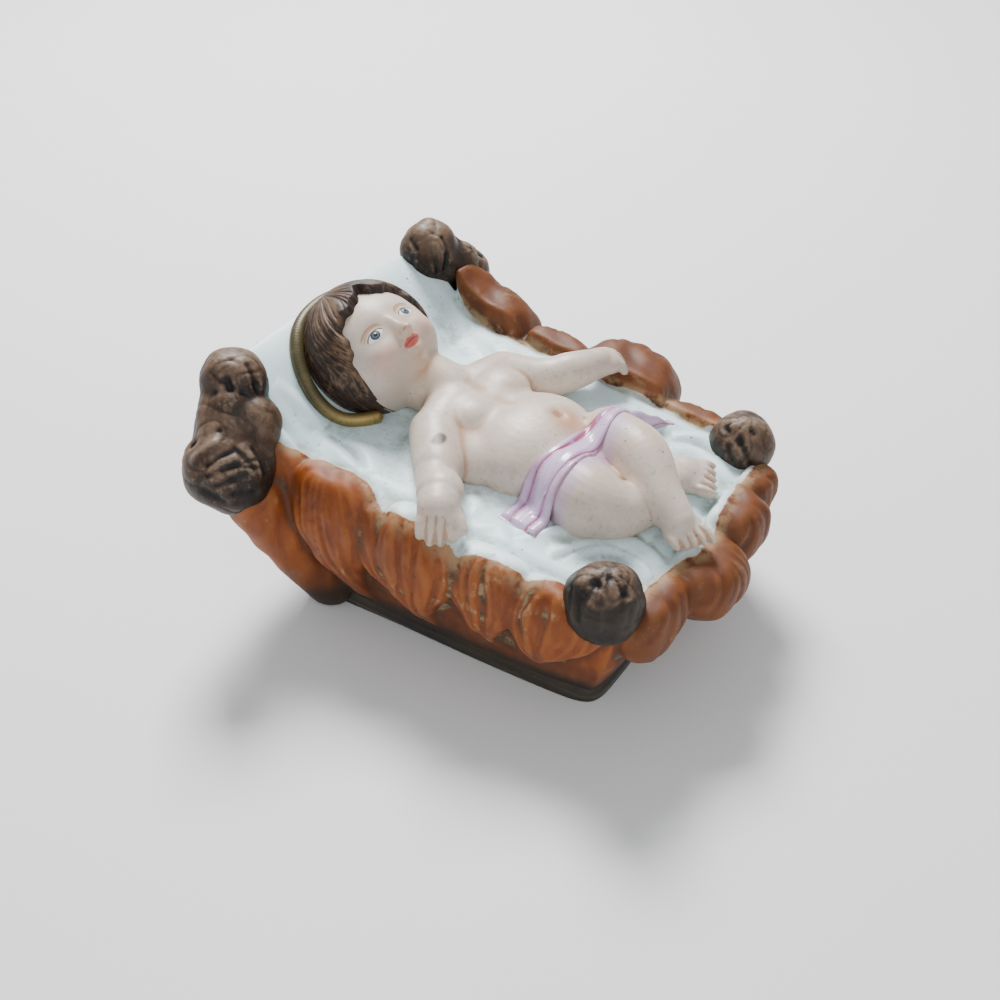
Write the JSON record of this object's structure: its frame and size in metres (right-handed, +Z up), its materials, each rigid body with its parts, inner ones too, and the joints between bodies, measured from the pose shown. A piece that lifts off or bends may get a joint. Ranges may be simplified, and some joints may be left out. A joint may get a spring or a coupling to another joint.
{
  "type": "infant in manger figurine",
  "caption": "Painted porcelain figurine of an infant with a halo, lying on a white cloth in a straw-filled manger with log ends at its corners.",
  "frame": {"origin": "a point of the flat underside of the plinth, under the infant's belly", "axes": "+X towards the infant's feet, +Y towards its left hand, +Z up"},
  "size_m": [0.1037, 0.0933, 0.0578],
  "materials": {
    "porcelain": "satin painted bisque",
    "white_glaze": "glossy white glaze with grime in its folds",
    "straw_paint": "satin burnt orange paint, rubbed on its ridges",
    "log_paint": "dark brown paint, dry-brushed with tan",
    "hair_paint": "dark brown paint, dry-brushed with tan",
    "gold_paint": "dull gold paint",
    "lilac_paint": "pearly lilac paint with dark pink in its folds",
    "plinth_paint": "satin dark olive brown paint"
  },
  "bodies": {
    "root": {"infant_in_manger": "porcelain"}
  },
  "joints": []
}
